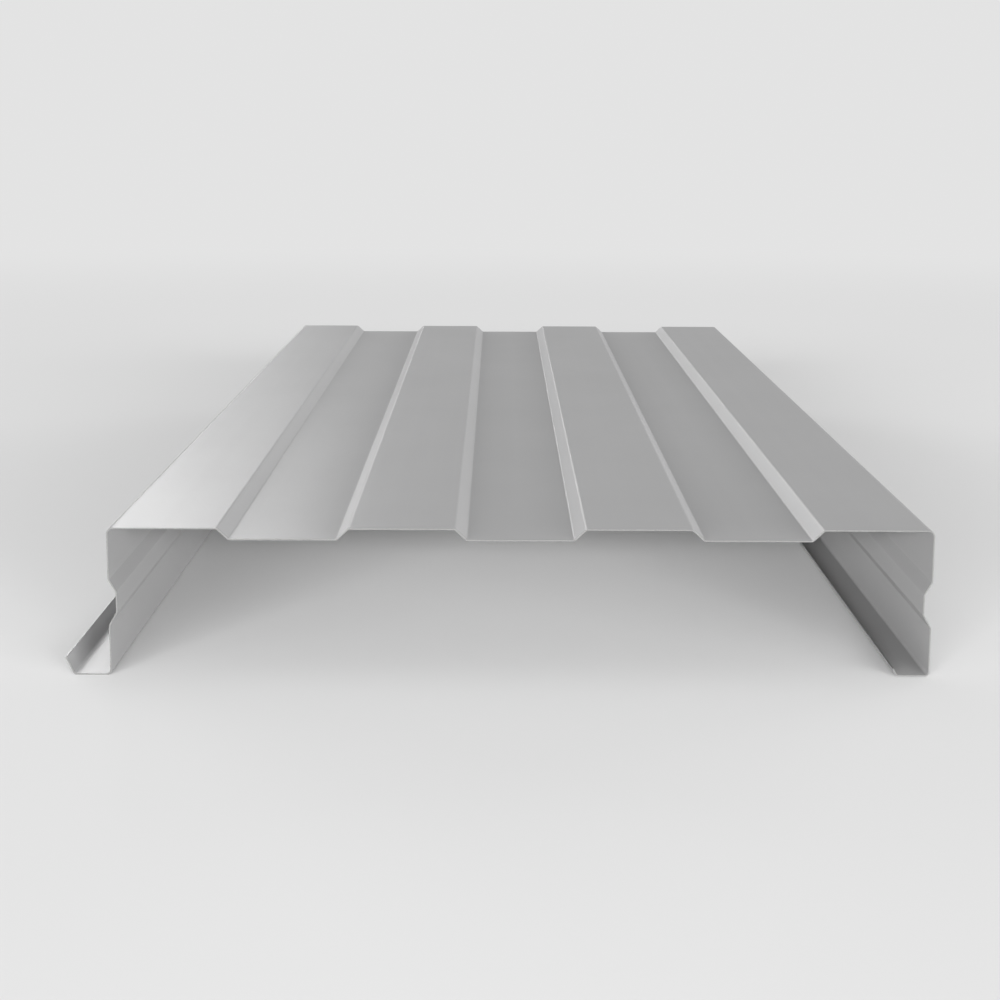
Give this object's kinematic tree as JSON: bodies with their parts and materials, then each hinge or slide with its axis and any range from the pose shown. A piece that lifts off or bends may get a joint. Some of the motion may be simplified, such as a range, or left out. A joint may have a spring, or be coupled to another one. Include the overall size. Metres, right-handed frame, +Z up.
{
  "type": "structural cassette panel",
  "caption": "Folded steel wall tray with a wide ribbed pan, grooved webs and narrow edge flanges, one forming a channel that takes the flange of the next panel.",
  "frame": {"origin": "middle of the bounding box's base, level with the underside of the left flange", "axes": "+X across the width towards the right web, +Y along the length, +Z up from the flanges to the pan"},
  "size_m": [0.6326, 1.5, 0.11],
  "materials": {
    "coated_steel": "smooth satin metallic-grey coil coating"
  },
  "bodies": {
    "root": {"cassette_sheet": "coated_steel"}
  },
  "joints": []
}
